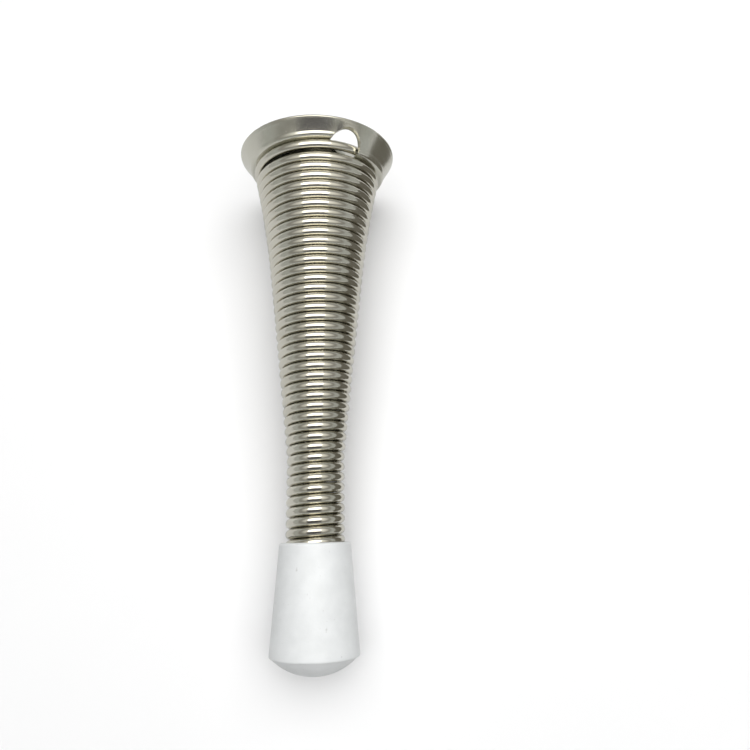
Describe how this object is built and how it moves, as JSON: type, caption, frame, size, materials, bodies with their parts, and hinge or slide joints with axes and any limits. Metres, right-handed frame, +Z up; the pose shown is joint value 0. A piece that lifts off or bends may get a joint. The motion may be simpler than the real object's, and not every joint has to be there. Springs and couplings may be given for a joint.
{
  "type": "door stop",
  "caption": "Wall or skirting door stop: pressed steel base flange, close-wound conical spring and a white rubber bumper on its narrow end.",
  "frame": {"origin": "centre of the base's rim, on the plane of the wall", "axes": "+Y points into the wall, the stop points along -Y away from the wall, +Z is up with the stop level on a skirting board, +X is to the right as seen from above with the wall at the top"},
  "size_m": [0.0254, 0.0794, 0.0254],
  "materials": {
    "satin_nickel": "satin nickel plate on pressed steel sheet",
    "bright_nickel": "bright nickel plate on drawn spring wire",
    "white_rubber": "matte moulded white rubber"
  },
  "bodies": {
    "base": {"base_flange": "satin_nickel", "spring_coils_1": "bright_nickel"},
    "spring_2": {"spring_coils_2": "bright_nickel"},
    "spring_3": {"spring_coils_3": "bright_nickel"},
    "spring_4": {"spring_coils_4": "bright_nickel"},
    "spring_5": {"spring_coils_5": "bright_nickel"},
    "spring_6": {"spring_coils_6": "bright_nickel"},
    "spring_7": {"spring_coils_7": "bright_nickel"},
    "spring_8": {"spring_coils_8": "bright_nickel"},
    "spring_9": {"spring_coils_9": "bright_nickel"},
    "bumper": {"bumper": "white_rubber"}
  },
  "joints": [
    {"name": "bend_up_1", "type": "hinge", "parent": "base", "child": "spring_2", "pos_m": [0, -0.009, 0], "axis": [-1, 0, 0], "range_deg": [-14, 14], "stiffness_Nm_per_rad": 0.3, "deforming": ["spring_coils_2", "spring_coils_1"]},
    {"name": "bend_side_1", "type": "hinge", "parent": "spring_2", "child": "spring_3", "pos_m": [0, -0.015, 0], "axis": [0, 0, 1], "range_deg": [-14, 14], "stiffness_Nm_per_rad": 0.32, "deforming": ["spring_coils_3"]},
    {"name": "bend_up_2", "type": "hinge", "parent": "spring_3", "child": "spring_4", "pos_m": [0, -0.021, 0], "axis": [-1, 0, 0], "range_deg": [-11.5, 11.5], "stiffness_Nm_per_rad": 0.36, "deforming": ["spring_coils_4"]},
    {"name": "bend_side_2", "type": "hinge", "parent": "spring_4", "child": "spring_5", "pos_m": [0, -0.027, 0], "axis": [0, 0, 1], "range_deg": [-11.5, 11.5], "stiffness_Nm_per_rad": 0.4, "deforming": ["spring_coils_5"]},
    {"name": "bend_up_3", "type": "hinge", "parent": "spring_5", "child": "spring_6", "pos_m": [0, -0.033, 0], "axis": [-1, 0, 0], "range_deg": [-9, 9], "stiffness_Nm_per_rad": 0.45, "deforming": ["spring_coils_6"]},
    {"name": "bend_side_3", "type": "hinge", "parent": "spring_6", "child": "spring_7", "pos_m": [0, -0.039, 0], "axis": [0, 0, 1], "range_deg": [-9, 9], "stiffness_Nm_per_rad": 0.5, "deforming": ["spring_coils_7"]},
    {"name": "bend_up_4", "type": "hinge", "parent": "spring_7", "child": "spring_8", "pos_m": [0, -0.045, 0], "axis": [-1, 0, 0], "range_deg": [-6.5, 6.5], "stiffness_Nm_per_rad": 0.58, "deforming": ["spring_coils_8"]},
    {"name": "bend_side_4", "type": "hinge", "parent": "spring_8", "child": "spring_9", "pos_m": [0, -0.051, 0], "axis": [0, 0, 1], "range_deg": [-6.5, 6.5], "stiffness_Nm_per_rad": 0.65, "deforming": ["spring_coils_9"]},
    {"name": "bumper_pull", "type": "slide", "parent": "spring_9", "child": "bumper", "axis": [0, -1, 0], "range_m": [0, 0.012]}
  ],
  "couplings": [
    {"joint": "bend_up_2", "follows": "bend_up_1", "ratio": 0.8},
    {"joint": "bend_side_2", "follows": "bend_side_1", "ratio": 0.8},
    {"joint": "bend_up_3", "follows": "bend_up_1", "ratio": 0.62},
    {"joint": "bend_side_3", "follows": "bend_side_1", "ratio": 0.62},
    {"joint": "bend_up_4", "follows": "bend_up_1", "ratio": 0.45},
    {"joint": "bend_side_4", "follows": "bend_side_1", "ratio": 0.42}
  ]
}
